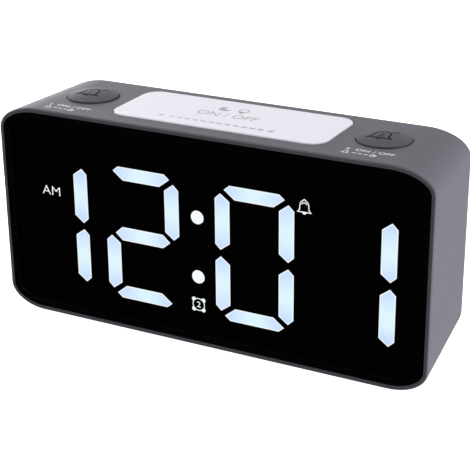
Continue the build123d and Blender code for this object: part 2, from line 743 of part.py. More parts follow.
# Rear keys with their plungers.
for name, x in zip(("clock_set", "minus", "plus", "dimmer"), REAR_KEYS):
    with BuildPart() as rear_key:
        with BuildSketch(at(Y_COVER_OUT + REAR_KEY_UP)):
            with Locations((x, REAR_KEY_Z)):
                RectangleRounded(REAR_KEY_W, REAR_KEY_H, REAR_KEY_R)
        extrude(amount=Y_COVER_OUT + REAR_KEY_UP - Y_REAR_FLANGE)
        with BuildSketch(at(Y_REAR_FLANGE)):
            with Locations((x, REAR_KEY_Z)):
                RectangleRounded(
                    REAR_KEY_W + 2 * FLANGE_OUT, REAR_KEY_H + 2 * FLANGE_OUT, REAR_KEY_R + FLANGE_OUT
                )
        extrude(amount=REAR_FLANGE_T)
        with BuildSketch(at(Y_REAR_FLANGE - REAR_FLANGE_T)):
            with Locations((x, REAR_KEY_Z)):
                Circle(REAR_STEM_R)
        extrude(amount=REAR_STEM_L)
    save(rear_key.part, f"{name}_key")
    with BuildPart() as rear_plunger:
        with BuildSketch(at(Y_PRESS)):
            with Locations((x, REAR_KEY_Z)):
                Circle(PLUNGER_R)
        extrude(amount=PLUNGER_UP + PLUNGER_IN)
    save(rear_plunger.part, f"{name}_plunger")

# Power inlet.
with BuildPart() as power_inlet:
    with BuildSketch(at(Y_COVER_IN)):
        with Locations((JACK_X, JACK_Z)):
            Rectangle(JACK_W, JACK_H)
    extrude(amount=JACK_L)
    with BuildSketch(at(Y_COVER_IN)):
        with Locations((JACK_X, JACK_Z)):
            Circle(JACK_NOSE_R)
    extrude(amount=-COVER_T)
    with BuildSketch(at(Y_COVER_OUT)):
        with Locations((JACK_X, JACK_Z)):
            Circle(JACK_BORE_R)
    extrude(amount=JACK_DEPTH, mode=Mode.SUBTRACT)
save(power_inlet.part, "power_inlet")
with BuildPart() as inlet_pin:
    with BuildSketch(at(Y_COVER_OUT - JACK_DEPTH)):
        with Locations((JACK_X, JACK_Z)):
            Circle(JACK_PIN_R)
    extrude(amount=-JACK_PIN_L)
save(inlet_pin.part, "inlet_pin")
with BuildPart() as inlet_tails:
    with BuildSketch(at(Y_COVER_IN - JACK_L)):
        with Locations((JACK_X, JACK_Z - TAIL_SPREAD), (JACK_X, JACK_Z + TAIL_SPREAD)):
            Rectangle(TAIL_W, TAIL_T)
    extrude(amount=TAIL_L)
save(inlet_tails.part, "inlet_tails")

# Backup cell in its holder, the base contact and the twist-lock hatch.
Y_LUG = Y_COVER_IN - LUG_GAP
Y_NECK = Y_LUG - LUG_T
Y_SEAT = Y_NECK - LUG_GAP
Y_FLOOR = Y_SEAT - CELL_T - CONTACT_T
with BuildPart() as cell_holder:
    with BuildSketch(at(Y_COVER_IN)):
        with Locations(CELL):
            Circle(HOLDER_R)
    extrude(amount=Y_COVER_IN - Y_MAIN)
    with BuildSketch(at(Y_COVER_IN)):
        with Locations(CELL):
            Circle(LUG_R + HATCH_GAP)
    extrude(amount=Y_COVER_IN - Y_SEAT, mode=Mode.SUBTRACT)
    with BuildSketch(at(Y_SEAT)):
        with Locations(CELL):
            Circle(CELL_R + CELL_GAP)
    extrude(amount=Y_SEAT - Y_FLOOR, mode=Mode.SUBTRACT)
save(cell_holder.part, "cell_holder")
with BuildPart() as cell_contact:
    with BuildSketch(at(Y_FLOOR)):
        with Locations(CELL):
            Circle(CONTACT_R)
    extrude(amount=-CONTACT_T)
save(cell_contact.part, "cell_contact")
with BuildPart() as coin_cell:
    with BuildSketch(at(Y_FLOOR + CONTACT_T)):
        with Locations(CELL):
            Circle(CELL_R)
    extrude(amount=-CELL_T)
save(coin_cell.part, "coin_cell")
with BuildPart() as cell_hatch:
    with BuildSketch(at(Y_COVER_OUT)):
        with Locations(CELL):
            Circle(HATCH_R)
    extrude(amount=HATCH_T)
    with BuildSketch(at(Y_COVER_OUT - HATCH_T)):
        with Locations(CELL):
            Circle(HATCH_NECK_R)
    extrude(amount=Y_COVER_OUT - HATCH_T - Y_NECK)
    with BuildSketch(at(Y_LUG)):
        with Locations(CELL):
            Rectangle(2 * LUG_R, LUG_W)
    extrude(amount=LUG_T)
    with BuildSketch(at(Y_COVER_OUT)):
        with Locations(CELL):
            SlotOverall(SLOT_L, SLOT_W)
    extrude(amount=SLOT_DEEP, mode=Mode.SUBTRACT)
save(cell_hatch.part, "cell_hatch")

# Feet: the rear pair is taller, so that the case stands upright on its rising underside.
UNDER_SLOPE = BOTTOM_RISE / BODY_D
UNDERSIDE = Plane(
    origin=(0, Y_FRONT, FOOT_H), x_dir=(1, 0, 0), z_dir=(0, -UNDER_SLOPE, 1)
)
for name, y in (("front_feet", -FOOT_Y), ("rear_feet", FOOT_Y)):
    with BuildPart() as feet:
        with BuildSketch(Plane.XY):
            with Locations((-FOOT_X, y), (FOOT_X, y)):
                Circle(FOOT_R)
        extrude(amount=FOOT_H + BOTTOM_RISE)
        split(bisect_by=UNDERSIDE, keep=Keep.BOTTOM)
    save(feet.part, name)
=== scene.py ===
import bpy
import json
import math
from mathutils import Matrix, Vector


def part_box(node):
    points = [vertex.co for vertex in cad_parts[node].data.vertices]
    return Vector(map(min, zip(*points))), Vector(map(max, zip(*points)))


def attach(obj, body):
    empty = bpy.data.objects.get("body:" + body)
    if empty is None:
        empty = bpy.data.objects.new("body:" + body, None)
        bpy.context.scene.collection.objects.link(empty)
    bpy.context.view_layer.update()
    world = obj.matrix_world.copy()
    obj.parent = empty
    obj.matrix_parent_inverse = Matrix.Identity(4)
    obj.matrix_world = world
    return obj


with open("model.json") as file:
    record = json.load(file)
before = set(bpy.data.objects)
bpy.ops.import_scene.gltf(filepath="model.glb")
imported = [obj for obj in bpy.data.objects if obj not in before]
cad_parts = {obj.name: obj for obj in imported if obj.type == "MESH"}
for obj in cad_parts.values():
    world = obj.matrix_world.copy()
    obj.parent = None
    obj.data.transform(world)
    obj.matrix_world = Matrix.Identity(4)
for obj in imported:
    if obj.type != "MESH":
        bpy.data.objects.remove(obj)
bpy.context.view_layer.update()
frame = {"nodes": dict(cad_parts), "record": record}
nodes = frame["nodes"]
scene = bpy.context.scene
MM = 0.001

# Each of the two skins of the smoked lens holds back the same share of the light behind it.
LENS_ALPHA = 0.3
ONE_SKIN = 1.0 / (1.0 - LENS_ALPHA)
TWO_SKINS = ONE_SKIN**2
LENS_IOR = 1.45
LENS_TINTS = ((0.0012, 0.0012, 0.0017), (0.0018, 0.0018, 0.0024))
LENS_GLOSS = (0.05, 0.09)
LIT_WHITE = (0.93, 0.97, 0.99)
PIPE_DARK = (0.02, 0.02, 0.02, 1.0)
PIPE_GLOSS = (0.4, 0.55)
BLACK = (0.002, 0.002, 0.0024)
# Painted shade: the near-black colour laid in engraved lines and screw recesses stands for the shade inside
# them.
PAINTED_GROOVE_SHADE = (0.014, 0.014, 0.017)

# Noise scales in grains per metre. A moulded surface's clouds are CLOUD_SIZE times as large as its grain.
LENS_CLOUD, LENS_GRAIN = 90.0, 700.0
GLOW_CLOUD, PIPE_GRAIN = 260.0, 1500.0
CLOUD_SIZE, CLOUD_DETAIL = 20, 3.0
BUMP_STRENGTH = 0.35


# Finishes: node shaders with noise for the grain, the cloudy colour and the uneven gloss.
def new_material(name):
    """Node material with its tree, its shader and a place socket in metres."""
    material = bpy.data.materials.new(name)
    material.use_nodes = True
    tree = material.node_tree
    place = tree.nodes.new("ShaderNodeTexCoord")
    return material, tree, tree.nodes["Principled BSDF"], place.outputs["Object"]


def noise(tree, place, scale, detail=2.0):
    """Noise with its scale given in grains per metre."""
    node = tree.nodes.new("ShaderNodeTexNoise")
    node.inputs["Scale"].default_value = scale
    node.inputs["Detail"].default_value = detail
    tree.links.new(place, node.inputs["Vector"])
    return node.outputs["Fac"]


def ramp(tree, value, low, high, start=0.3, end=0.7):
    """Colour that goes from low to high as a value goes from start to end."""
    node = tree.nodes.new("ShaderNodeValToRGB")
    node.color_ramp.elements[0].position = start
    node.color_ramp.elements[1].position = end
    node.color_ramp.elements[0].color = (*low, 1.0)
    node.color_ramp.elements[1].color = (*high, 1.0)
    tree.links.new(value, node.inputs["Fac"])
    return node.outputs["Color"]


def uneven_gloss(tree, shader, grain, low, high):
    """Roughness that follows a grain between two values."""
    tree.links.new(ramp(tree, grain, (low,) * 3, (high,) * 3), shader.inputs["Roughness"])


def moulded(name, colour, spread, rough, rough_spread, grain, relief, specular=0.5, metal=0.0):
    """Moulded, printed or plated surface: cloudy colour, uneven gloss, and a relief in millimetres."""
    material, tree, shader, place = new_material(name)
    low = [c * (1 - spread) for c in colour]
    high = [c * (1 + spread) for c in colour]
    cloud = noise(tree, place, grain / CLOUD_SIZE, CLOUD_DETAIL)
    fine = noise(tree, place, grain)
    tree.links.new(ramp(tree, cloud, low, high), shader.inputs["Base Color"])
    uneven_gloss(tree, shader, fine, rough - rough_spread, rough + rough_spread)
    shader.inputs["Specular IOR Level"].default_value = specular
    shader.inputs["Metallic"].default_value = metal
    bump = tree.nodes.new("ShaderNodeBump")
    bump.inputs["Strength"].default_value = BUMP_STRENGTH
    bump.inputs["Distance"].default_value = relief * MM
    tree.links.new(fine, bump.inputs["Height"])
    tree.links.new(bump.outputs["Normal"], shader.inputs["Normal"])
    return material


def light_up(tree, shader, place, light, strength):
    """Give a shader its own light over a dark satin skin."""
    tree.links.new(light, shader.inputs["Emission Color"])
    shader.inputs["Emission Strength"].default_value = strength
    shader.inputs["Base Color"].default_value = PIPE_DARK
    uneven_gloss(tree, shader, noise(tree, place, PIPE_GRAIN), *PIPE_GLOSS)


def glowing(name, colour, strength, spread):
    """Lit diffuser with a faint cloudiness."""
    material, tree, shader, place = new_material(name)
    low = [c * (1 - spread) for c in colour]
    light_up(tree, shader, place, ramp(tree, noise(tree, place, GLOW_CLOUD), low, colour), strength)
    return material


def smoked_lens(name):
    """Polished smoked acrylic: see-through black with a faint waviness in its gloss."""
    material, tree, shader, place = new_material(name)
    tint = ramp(tree, noise(tree, place, LENS_CLOUD), *LENS_TINTS)
    tree.links.new(tint, shader.inputs["Base Color"])
    uneven_gloss(tree, shader, noise(tree, place, LENS_GRAIN), *LENS_GLOSS)
    shader.inputs["Alpha"].default_value = LENS_ALPHA
    shader.inputs["IOR"].default_value = LENS_IOR
    material.surface_render_method = "BLENDED"
    return material


# Moulded finishes: colour, its spread, roughness, its spread, grains per metre, relief, specular, metal.
FINISHES = {
    "case_grey": ((0.12, 0.118, 0.141), 0.03, 0.5, 0.06, 2600.0, 0.05, 0.32),
    "key_grey": ((0.071, 0.069, 0.086), 0.04, 0.47, 0.05, 2600.0, 0.04, 0.3),
    "bar_white": ((0.89, 0.89, 0.96), 0.012, 0.36, 0.05, 2200.0, 0.03, 0.4),
    "mask_black": (BLACK, 0.2, 0.6, 0.1, 1800.0, 0.04, 0.05),
    "light_unlit": (BLACK, 0.1, 0.7, 0.08, 1500.0, 0.02, 0.05),
    "board_green": ((0.015, 0.1, 0.035), 0.18, 0.35, 0.08, 1200.0, 0.03),
    "chip_black": ((0.018, 0.018, 0.02), 0.15, 0.55, 0.1, 3000.0, 0.04),
    "plunger_pale": ((0.6, 0.58, 0.5), 0.05, 0.45, 0.08, 1500.0, 0.03),
    "led_white": ((0.8, 0.77, 0.58), 0.05, 0.25, 0.05, 1500.0, 0.02),
    "steel": ((0.56, 0.56, 0.58), 0.06, 0.32, 0.1, 1800.0, 0.02, 0.5, 1.0),
    "brass": ((0.72, 0.55, 0.26), 0.07, 0.3, 0.1, 1500.0, 0.02, 0.5, 1.0),
    "rubber": ((0.022, 0.022, 0.024), 0.15, 0.8, 0.08, 1600.0, 0.08, 0.25),
}
SLOTS = {name: moulded(name, *finish) for name, finish in FINISHES.items()}
SLOTS["lens_smoked"] = smoked_lens("lens_smoked")
SLOTS["light_lit"] = glowing("light_lit", LIT_WHITE, TWO_SKINS, 0.02)
for part in frame["record"]["subparts"]:
    mesh = nodes[part["node"]].data
    mesh.materials.clear()
    mesh.materials.append(SLOTS[part["material_slot"]])

# Inks of the added marks, each with the material slot that it belongs to.
INKS = {
    "border_black": (moulded("border_black", BLACK, 0.1, 0.6, 0.1, 1800.0, 0.02, 0.05), "mask_black"),
    "lit_mark": (glowing("lit_mark", LIT_WHITE, ONE_SKIN, 0.03), "light_lit"),
    "lit_edge": (glowing("lit_edge", LIT_WHITE, ONE_SKIN, 0.02), "light_lit"),
    "white_ink": (moulded("white_ink", (0.82, 0.82, 0.84), 0.05, 0.5, 0.08, 2000.0, 0.02), "bar_white"),
    "grey_ink": (moulded("grey_ink", (0.42, 0.42, 0.45), 0.06, 0.5, 0.08, 2000.0, 0.02), "bar_white"),
    # Painted shade: a dark ink sheet for the shade inside engraved lines and screw recesses.
    "painted_groove_shade": (moulded("painted_groove_shade", PAINTED_GROOVE_SHADE, 0.15, 0.7, 0.08, 2000.0, 0.03, 0.2), "key_grey"),
}

# Lit digits: palest over the lamp in the middle of each stroke, bluer towards the stroke's tips.
DIGIT_NODES = ("segments_hours_tens", "segments_hours", "segments_minutes_tens", "segments_minutes")
STROKE_TIP = (0.57, 0.71, 0.99)
STROKE_MIDDLE = (0.73, 0.91, 1.0)
POST_CENTRE = 11.1 * MM
POST_REACH = 11.5 * MM
RAIL_REACH = 12.5 * MM
TIP_SHARE, MIDDLE_SHARE = 0.15, 0.85
STROKE_CLOUD, CLOUD_SHARE = 180.0, 0.5
NOISE_MEAN = 0.5


def maths(tree, operation, first, second=None):
    """Math node whose inputs are sockets or plain numbers."""
    node = tree.nodes.new("ShaderNodeMath")
    node.operation = operation
    for socket, value in zip(node.inputs, (first, second)):
        if isinstance(value, (int, float)):
            socket.default_value = value
        elif value is not None:
            tree.links.new(value, socket)
    return node.outputs["Value"]


def distance(tree, socket, value):
    """How far a socket's number is from a value."""
    return maths(tree, "ABSOLUTE", maths(tree, "SUBTRACT", socket, value))


def nearness(tree, socket, reach):
    """1 where a distance is zero, 0 where it is as long as reach."""
    return maths(tree, "SUBTRACT", 1.0, maths(tree, "DIVIDE", socket, reach))


def digit_glow(name, centre, strength):
    """Light of one digit, shaded along its upright and level strokes from the digit's centre."""
    material, tree, shader, place = new_material(name)
    parts = tree.nodes.new("ShaderNodeSeparateXYZ")
    tree.links.new(place, parts.inputs["Vector"])
    along = distance(tree, parts.outputs["X"], centre[0])
    height = distance(tree, parts.outputs["Z"], centre[1])
    post_share = nearness(tree, distance(tree, height, POST_CENTRE), POST_REACH)
    share = maths(tree, "MAXIMUM", post_share, nearness(tree, along, RAIL_REACH))
    cloud = maths(tree, "SUBTRACT", noise(tree, place, STROKE_CLOUD), NOISE_MEAN)
    share = maths(tree, "ADD", share, maths(tree, "MULTIPLY", cloud, CLOUD_SHARE))
    light = ramp(tree, share, STROKE_TIP, STROKE_MIDDLE, TIP_SHARE, MIDDLE_SHARE)
    light_up(tree, shader, place, light, strength)
    return material


FULL_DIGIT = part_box("segments_minutes_tens")
DIGIT_MIDDLE = (FULL_DIGIT[0].z + FULL_DIGIT[1].z) / 2
DIGIT_HALF = (FULL_DIGIT[1].x - FULL_DIGIT[0].x) / 2
for name in DIGIT_NODES:
    centre = (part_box(name)[1].x - DIGIT_HALF, DIGIT_MIDDLE)
    nodes[name].data.materials[0] = digit_glow(f"glow_{name}", centre, TWO_SKINS)


# Flat shapes in millimetres, each a pair of vertex and face lists, counter-clockwise.
MITRE_LIMIT = 0.5
RING_STEPS = 24
EAR_STEPS = 16
LETTER_STEPS = 4


def arc(centre, radius, start, end, steps):
    """Points of a circular arc, with its angles in degrees."""
    points = []
    for k in range(steps + 1):
        angle = math.radians(start + (end - start) * k / steps)
        points.append((centre[0] + radius * math.cos(angle), centre[1] + radius * math.sin(angle)))
    return points


def circle(centre, radius, steps):
    """Points of a full circle."""
    return arc(centre, radius, 0, 360 - 360 / steps, steps - 1)


def divide(points, step):
    """The same line with extra points, so that no stretch is longer than step."""
    out = [points[0]]
    for a, b in zip(points, points[1:]):
        count = max(1, math.ceil(math.dist(a, b) / step))
        for k in range(1, count + 1):
            out.append((a[0] + (b[0] - a[0]) * k / count, a[1] + (b[1] - a[1]) * k / count))
    return out


def sides(points, width, closed):
    """Left and right edge points of a strip of the given width along a line, with mitred corners."""
    left, right = [], []
    count = len(points)
    for k, point in enumerate(points):
        here = Vector(point)
        before = Vector(points[k - 1]) if k or closed else None
        after = Vector(points[(k + 1) % count]) if k < count - 1 or closed else None
        into = (here - before).normalized() if before is not None else (after - here).normalized()
        out = (after - here).normalized() if after is not None else into
        mitre = Vector((-into.y - out.y, into.x + out.x)).normalized()
        reach = width / 2 / max(MITRE_LIMIT, mitre.dot(Vector((-into.y, into.x))))
        left.append(here + mitre * reach)
        right.append(here - mitre * reach)
    return left, right


def strip(points, width, closed=False):
    """Strip of the given width along a line."""
    left, right = sides(points, width, closed)
    count = len(points)
    verts = [tuple(p) for p in left + right]
    last = count if closed else count - 1
    faces = [(k, count + k, count + (k + 1) % count, (k + 1) % count) for k in range(last)]
    return verts, faces


def level(centre, length, width):
    """Straight level stroke about its middle."""
    x, y = centre
    return strip([(x - length / 2, y), (x + length / 2, y)], width)


def filled(points):
    """One face inside a closed outline."""
    return points, [tuple(range(len(points)))]


def plus(centre, length, width):
    """Plus sign as one outline."""
    x, y = centre
    arm = [(length / 2, -width / 2), (length / 2, width / 2), (width / 2, width / 2)]
    points = []
    for c, s in ((1, 0), (0, 1), (-1, 0), (0, -1)):
        points += [(x + c * u - s * v, y + s * u + c * v) for u, v in arm]
    return filled(points)


def band(outer, inner):
    """Closed band between two outlines with as many points."""
    count = len(outer)
    faces = [(k, (k + 1) % count, count + (k + 1) % count, count + k) for k in range(count)]
    return list(outer) + [tuple(p) for p in inner], faces


def ear(centre, ring, angle, reach, radius):
    """Round bump on the outside of a ring, with its direction in degrees."""
    half = math.acos((reach**2 + ring**2 - radius**2) / (2 * reach * ring))
    swing = math.degrees(math.atan2(ring * math.sin(half), ring * math.cos(half) - reach))
    middle = arc(centre, reach, angle, angle, 1)[0]
    outside = arc(middle, radius, angle - swing, angle + swing, EAR_STEPS)
    inside = arc(centre, ring, angle + math.degrees(half), angle - math.degrees(half), EAR_STEPS // 2)
    return filled(outside + inside[1:-1])


def letters(text, height, centre, width=None, bold=0.0):
    """Letters of the built-in font, with capitals of the given height."""
    curve = bpy.data.curves.new("letters", "FONT")
    curve.body = text
    curve.align_x = "CENTER"
    curve.resolution_u = LETTER_STEPS
    curve.offset = bold
    carrier = bpy.data.objects.new("letters", curve)
    scene.collection.objects.link(carrier)
    mesh = bpy.data.meshes.new_from_object(carrier)
    left = min(v.co.x for v in mesh.vertices)
    right = max(v.co.x for v in mesh.vertices)
    low = min(v.co.y for v in mesh.vertices)
    high = max(v.co.y for v in mesh.vertices)
    tall = height / (high - low)
    wide = tall if width is None else width / (right - left)
    verts = []
    for v in mesh.vertices:
        x = centre[0] + (v.co.x - (left + right) / 2) * wide
        y = centre[1] + (v.co.y - (low + high) / 2) * tall
        verts.append((x, y))
    faces = [tuple(p.vertices) for p in mesh.polygons]
    bpy.data.objects.remove(carrier)
    bpy.data.meshes.remove(mesh)
    bpy.data.curves.remove(curve)
    return verts, faces


# Signs, in shares of their size. An arc is its start and end in degrees and its steps.
BELL_SIDE = [(-1.0, -0.38), (-0.7, -0.2), (-0.67, 0.12), (-0.54, 0.29), (0.0, 0.5)]
BELL_STEP_MM = 1.2
CLAPPER_R, CLAPPER_ARC = 0.34, (180, 360, 8)
HAND_LONG, HAND_SHORT = 0.62, 0.45
SUN_DISC, SUN_STEPS = 0.5, 20
RAY_START, RAY_TURN = 0.68, 45
MOON_ARC = (80, 370, 20)
BITE_RIGHT, BITE_UP, BITE_STEPS = 0.5, 0.42, 16
GLASS_UP, GLASS_R, GLASS_ARC = 0.25, 0.72, (-120, 300, 18)
NECK_HALF, NECK_DOWN = 0.3, 0.6
CAP_L, CAPS_DOWN = 0.56, (0.78, 1.0)


def bell(centre, width, height, line):
    """Bell outline with a pointed crown, and a clapper under its rim."""
    x, y = centre
    half = width / 2
    other_side = [(-u, v) for u, v in reversed(BELL_SIDE[:-1])]
    outline = [(x + u * half, y + v * height) for u, v in BELL_SIDE + other_side]
    clapper = arc((x, y + BELL_SIDE[0][1] * height), half * CLAPPER_R, *CLAPPER_ARC)
    return [strip(divide(outline + outline[:1], BELL_STEP_MM)[:-1], line, True), filled(clapper)]


def clock_face(centre, radius, line):
    """Round clock face with two hands."""
    x, y = centre
    hands = [(x, y + radius * HAND_LONG), (x, y), (x + radius * HAND_SHORT, y)]
    return [strip(circle(centre, radius, RING_STEPS), line, True), strip(hands, line)]


def sun(centre, radius, line):
    """Disc with rays all round."""
    shapes = [filled(circle(centre, radius * SUN_DISC, SUN_STEPS))]
    for angle in range(0, 360, RAY_TURN):
        near = arc(centre, radius * RAY_START, angle, angle, 1)[0]
        far = arc(centre, radius, angle, angle, 1)[0]
        shapes.append(strip([near, far], line))
    return shapes


def moon(centre, radius):
    """Crescent with its horns to the upper right."""
    outer = arc(centre, radius, *MOON_ARC)
    bite = (centre[0] + radius * BITE_RIGHT, centre[1] + radius * BITE_UP)
    start = math.degrees(math.atan2(outer[-1][1] - bite[1], outer[-1][0] - bite[0]))
    end = math.degrees(math.atan2(outer[0][1] - bite[1], outer[0][0] - bite[0]))
    inner = arc(bite, math.dist(bite, outer[0]), start, end - 360 if end > start else end, BITE_STEPS)
    return [filled(outer + inner[1:-1])]


def bulb(centre, radius, line):
    """Lamp bulb outline with two cap lines."""
    x, y = centre
    neck = radius * NECK_HALF
    neck_end = y - radius * NECK_DOWN
    glass = arc((x, y + radius * GLASS_UP), radius * GLASS_R, *GLASS_ARC)
    shapes = [strip([(x - neck, neck_end), *glass, (x + neck, neck_end)], line)]
    shapes += [level((x, y - radius * drop), radius * CAP_L, line) for drop in CAPS_DOWN]
    return shapes


def mark(name, shapes, lay, ink, body, thick):
    """Thin raised mark: lay turns a point and a height in millimetres into a place on the part."""
    material, slot = INKS[ink]
    verts, faces = [], []
    for flat, rings in shapes:
        low = len(verts)
        high = low + len(flat)
        verts += [lay(x, y, 0.0) for x, y in flat]
        verts += [lay(x, y, thick) for x, y in flat]
        edges = {}
        for ring in rings:
            faces.append(tuple(high + k for k in ring))
            faces.append(tuple(low + k for k in reversed(ring)))
            for a, b in zip(ring, ring[1:] + ring[:1]):
                edges[(a, b)] = True
        for a, b in edges:
            if (b, a) not in edges:
                faces.append((low + a, low + b, high + b, high + a))
    mesh = bpy.data.meshes.new(name)
    mesh.from_pydata([tuple(c * MM for c in v) for v in verts], [], faces)
    mesh.materials.append(material)
    piece = bpy.data.objects.new(name, mesh)
    scene.collection.objects.link(piece)
    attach(piece, body)


def box_mm(node):
    """Lowest and highest corners of a node in millimetres."""
    low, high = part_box(node)
    return low / MM, high / MM


# Black border just under the lens's front skin, over the ledge that the lens sits on.
LENS_LOW, LENS_HIGH = box_mm("front_lens")
LENS_TOP_R = (13.9, 6.9)
LENS_LOW_R = (12.0, 7.2)
CORNER_STEPS = 12
BORDER_OUT = 0.05
BORDER_IN = 2.2
BORDER_DEEP = 0.06
BORDER_THICK = 0.03


def lens_outline(inset):
    """Outline of the lens, drawn in by inset: straight sides and elliptical corners."""
    points = []
    for start, (wide, tall) in ((0, LENS_TOP_R), (90, LENS_TOP_R), (180, LENS_LOW_R), (270, LENS_LOW_R)):
        x = LENS_LOW.x + wide if start in (90, 180) else LENS_HIGH.x - wide
        z = LENS_HIGH.z - tall if start < 180 else LENS_LOW.z + tall
        for u, v in arc((0, 0), 1.0, start, start + 90, CORNER_STEPS):
            points.append((x + u * (wide - inset), z + v * (tall - inset)))
    return points


def on_lens(x, z, height):
    """Place just under the polished front of the lens."""
    return (x, LENS_LOW.y + BORDER_DEEP - height, z)


border = band(lens_outline(BORDER_OUT), lens_outline(BORDER_IN))
mark("lens_border", [border], on_lens, "border_black", "case", BORDER_THICK)

# Lit signs on the indicator windows: they reach into the lens, so that only its front skin dims them.
WINDOW_FRONT = box_mm("indicator_windows")[0].y
WINDOW_GAP = 0.02
LIT_THICK = 0.05
HOURS_TENS_LEFT = box_mm("segments_hours_tens")[0].x
DIGIT_LOW, DIGIT_HIGH = box_mm("segments_minutes_tens")
DOT_LOW, DOT_HIGH = box_mm("colon_dots")
AM_LEFT, AM_UP = 9.6, 11.1
AM_CENTRE = (HOURS_TENS_LEFT - AM_LEFT, (DIGIT_LOW.z + DIGIT_HIGH.z) / 2 + AM_UP)
AM_W, AM_H, AM_BOLD = 7.3, 3.2, -0.012
BELL_RIGHT, BELL_DOWN = 3.55, 2.6
BELL_CENTRE = (DIGIT_HIGH.x + BELL_RIGHT, DIGIT_HIGH.z - BELL_DOWN)
BELL_W, BELL_H, BELL_LINE = 4.6, 4.9, 0.32
CROWN_UP, CROWN_R, CROWN_ARC, CROWN_LINE = 0.35, 1.0, (160, 20, 6), 0.3
ALARM_UP = 3.6
ALARM_CENTRE = ((DOT_LOW.x + DOT_HIGH.x) / 2, DIGIT_LOW.z + ALARM_UP)
ALARM_R, ALARM_LINE = 2.2, 0.3
ALARM_DIGIT_W, ALARM_DIGIT_H = 1.5, 2.1
EAR_START, EAR_REACH, EAR_R = 2.34, 2.5, 0.82
EAR_ANGLES = (45, 135, 225, 315)


def on_front(x, z, height):
    """Place on the light windows, seen from the front."""
    return (x, WINDOW_FRONT - WINDOW_GAP - height, z)


shapes = [letters("AM", AM_H, AM_CENTRE, AM_W, AM_BOLD)]
mark("am_sign", shapes, on_front, "lit_mark", "case", LIT_THICK)
crown = arc((BELL_CENTRE[0], BELL_CENTRE[1] + CROWN_UP), CROWN_R, *CROWN_ARC)
shapes = bell(BELL_CENTRE, BELL_W, BELL_H, BELL_LINE) + [strip(crown, CROWN_LINE)]
mark("bell_sign", shapes, on_front, "lit_mark", "case", LIT_THICK)
shapes = [strip(circle(ALARM_CENTRE, ALARM_R, RING_STEPS), ALARM_LINE, True)]
shapes += [ear(ALARM_CENTRE, EAR_START, angle, EAR_REACH, EAR_R) for angle in EAR_ANGLES]
shapes.append(letters("2", ALARM_DIGIT_H, ALARM_CENTRE, ALARM_DIGIT_W))
mark("alarm_sign", shapes, on_front, "lit_mark", "case", LIT_THICK)

# Bright edges of the lit strokes: a thin frame just inside each stroke's outline.
EDGE_W = 0.3
FRONT_FACING = -0.9


def stroke_outlines(node):
    """Closed outlines of a node's front faces, as lists of points in millimetres, counter-clockwise."""
    mesh = nodes[node].data
    spot = [(round(v.co.x / MM, 3), round(v.co.z / MM, 3)) for v in mesh.vertices]
    counts = {}
    for face in mesh.polygons:
        if face.normal.y < FRONT_FACING:
            for a, b in face.edge_keys:
                pair = tuple(sorted((spot[a], spot[b])))
                counts[pair] = counts.get(pair, 0) + 1
    links = {}
    for (a, b), times in counts.items():
        if times == 1:
            links.setdefault(a, []).append(b)
            links.setdefault(b, []).append(a)
    loops = []
    while links:
        start = min(links)
        loop = [start]
        here = links.pop(start)[0]
        while here != start:
            loop.append(here)
            here = [p for p in links.pop(here) if p != loop[-2]][0]
        turn = sum(a[0] * b[1] - a[1] * b[0] for a, b in zip(loop, loop[1:] + loop[:1]))
        loops.append(loop if turn > 0 else loop[::-1])
    return loops


for name in DIGIT_NODES:
    shapes = [band(loop, sides(loop, 2 * EDGE_W, True)[0]) for loop in stroke_outlines(name)]
    mark(f"edge_{name}", shapes, on_front, "lit_edge", "case", LIT_THICK)

# Painted shade: dark bell marks on the round keys stand for the shade in their engraved lines, and follow
# their domes.
BUTTON_R = 9.0
BUTTON_DOME = 1.2
GROOVE_THICK = 0.04
KEY_BELL = (-0.6, -0.3)
KEY_BELL_W, KEY_BELL_H, KEY_BELL_LINE = 7.8, 7.4, 0.75
KEY_DIGIT = (-0.6, -0.5)
KEY_DIGIT_H = 3.0
KEY_WAVES = ([(1.3, 4.0), (2.6, 3.0)], [(2.1, 5.0), (3.8, 3.6)])
WAVE_W = 0.6


def on_dome(key):
    """Place on the domed cap of a round key, from its middle."""
    low, high = box_mm(key)
    middle = (low + high) / 2
    ball = (BUTTON_R**2 + BUTTON_DOME**2) / (2 * BUTTON_DOME)

    def lay(x, y, height):
        drop = ball - math.sqrt(ball**2 - x * x - y * y)
        return (middle.x + x, middle.y + y, high.z - drop + height)

    return lay


for key, figure in (("left_button", "1"), ("right_button", "2")):
    shapes = bell(KEY_BELL, KEY_BELL_W, KEY_BELL_H, KEY_BELL_LINE)
    shapes.append(letters(figure, KEY_DIGIT_H, KEY_DIGIT))
    shapes += [strip(divide(wave, WAVE_W), WAVE_W) for wave in KEY_WAVES]
    mark(f"{key}_mark", shapes, on_dome(key), "painted_groove_shade", key, GROOVE_THICK)

# Printed labels in front of the round keys: an ON / OFF line over a line with a bell, dashes and a clock.
CASE_TOP = box_mm("housing")[1].z
PRINT_THICK = 0.02
LABELS = (("left_label", "left_button", "1", -0.3, -13.9), ("right_label", "right_button", "2", 0.5, -12.9))
LABEL_W, LABEL_H, LABEL_BOLD = 16.2, 1.9, 0.01
LABEL_STEP = 3.1
LABEL_BELL_X, LABEL_BELL_W, LABEL_BELL_H, LABEL_BELL_LINE = 1.1, 2.2, 2.1, 0.38
LABEL_DASHES, LABEL_DASH_L, LABEL_DASH_W = (3.9, 5.9, 7.9), 1.4, 0.5
LABEL_CLOCK_X, LABEL_CLOCK_R, LABEL_CLOCK_LINE = 10.2, 0.95, 0.36


def above(node, face):
    """Place on a level face at height face, from the middle of a node."""
    low, high = box_mm(node)
    middle = (low + high) / 2

    def lay(x, y, height):
        return (middle.x + x, middle.y + y, face + height)

    return lay


